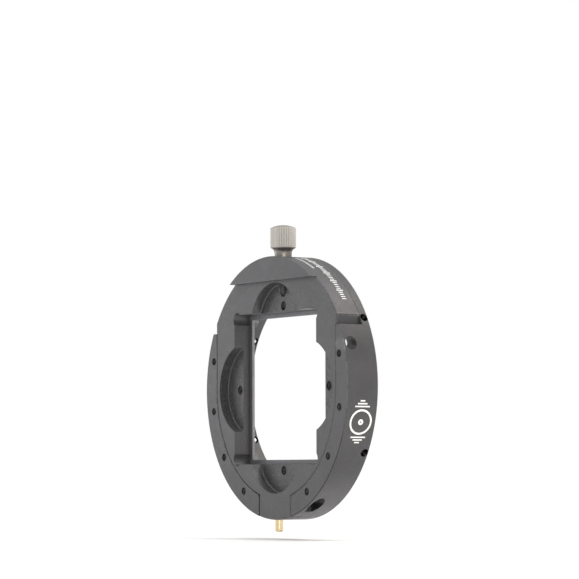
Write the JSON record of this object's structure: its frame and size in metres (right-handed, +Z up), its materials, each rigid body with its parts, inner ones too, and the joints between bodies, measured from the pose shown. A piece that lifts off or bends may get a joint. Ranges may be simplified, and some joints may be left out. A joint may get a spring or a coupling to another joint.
{
  "type": "filter slider chamber",
  "caption": "Ring-shaped optical filter chamber with a lift-out slider for a square filter, knurled pull screw, brass push pin and sprung ball catches.",
  "frame": {"origin": "centre of the rear clamp bore, in the plane of the rear face", "axes": "+X to the right seen from the front, +Y along the optical axis out of the rear, +Z up to the pull screw"},
  "size_m": [0.087, 0.0138, 0.1015],
  "materials": {
    "body_black": "satin black anodised",
    "slider_black": "satin black anodised",
    "stainless": "turned and knurled",
    "brass": "polished",
    "nickel": "bright nickel plate",
    "plunger_steel": "blackened, turned",
    "ball_steel": "polished",
    "spring_steel": "drawn wire",
    "set_screw_steel": "turned",
    "white_print": "printed"
  },
  "bodies": {
    "chamber": {"chamber_body": "body_black", "right_plunger_sleeve": "plunger_steel", "left_plunger_sleeve": "plunger_steel", "right_plunger_spring": "spring_steel", "left_plunger_spring": "spring_steel"},
    "slider": {"slider_frame": "slider_black", "push_pin": "brass", "right_side_magnet": "nickel", "left_side_magnet": "nickel"},
    "thumb_screw": {"thumb_screw": "stainless"},
    "right_plunger_ball": {"right_plunger_ball": "ball_steel"},
    "left_plunger_ball": {"left_plunger_ball": "ball_steel"},
    "upper_right_clamp_screw": {"upper_right_clamp_screw": "set_screw_steel"},
    "top_clamp_screw": {"top_clamp_screw": "set_screw_steel"},
    "upper_left_clamp_screw": {"upper_left_clamp_screw": "set_screw_steel"},
    "lower_left_clamp_screw": {"lower_left_clamp_screw": "set_screw_steel"},
    "bottom_clamp_screw": {"bottom_clamp_screw": "set_screw_steel"},
    "lower_right_clamp_screw": {"lower_right_clamp_screw": "set_screw_steel"}
  },
  "joints": [
    {"name": "slider_lift", "type": "slide", "parent": "chamber", "child": "slider", "axis": [0, 0, 1], "range_m": [0, 0.068]},
    {"name": "thumb_screw_turn", "type": "hinge", "parent": "slider", "child": "thumb_screw", "pos_m": [0, -0.00814, 0.0433], "axis": [0, 0, 1], "range_deg": [0, 360]},
    {"name": "right_plunger_press", "type": "slide", "parent": "chamber", "child": "right_plunger_ball", "axis": [1, 0, 0], "range_m": [0, 0.0006], "stiffness_N_per_m": 1000, "deforming": ["right_plunger_spring"]},
    {"name": "left_plunger_press", "type": "slide", "parent": "chamber", "child": "left_plunger_ball", "axis": [-1, 0, 0], "range_m": [0, 0.0006], "stiffness_N_per_m": 1000, "deforming": ["left_plunger_spring"]},
    {"name": "upper_right_clamp_advance", "type": "slide", "parent": "chamber", "child": "upper_right_clamp_screw", "axis": [-0.866, 0, -0.5], "range_m": [-0.0015, 0.0012]},
    {"name": "top_clamp_advance", "type": "slide", "parent": "chamber", "child": "top_clamp_screw", "axis": [0, 0, -1], "range_m": [-0.0015, 0.0012]},
    {"name": "upper_left_clamp_advance", "type": "slide", "parent": "chamber", "child": "upper_left_clamp_screw", "axis": [0.866, 0, -0.5], "range_m": [-0.0015, 0.0012]},
    {"name": "lower_left_clamp_advance", "type": "slide", "parent": "chamber", "child": "lower_left_clamp_screw", "axis": [0.866, 0, 0.5], "range_m": [-0.0015, 0.0012]},
    {"name": "bottom_clamp_advance", "type": "slide", "parent": "chamber", "child": "bottom_clamp_screw", "axis": [0, 0, 1], "range_m": [-0.0015, 0.0012]},
    {"name": "lower_right_clamp_advance", "type": "slide", "parent": "chamber", "child": "lower_right_clamp_screw", "axis": [-0.866, 0, 0.5], "range_m": [-0.0015, 0.0012]}
  ]
}
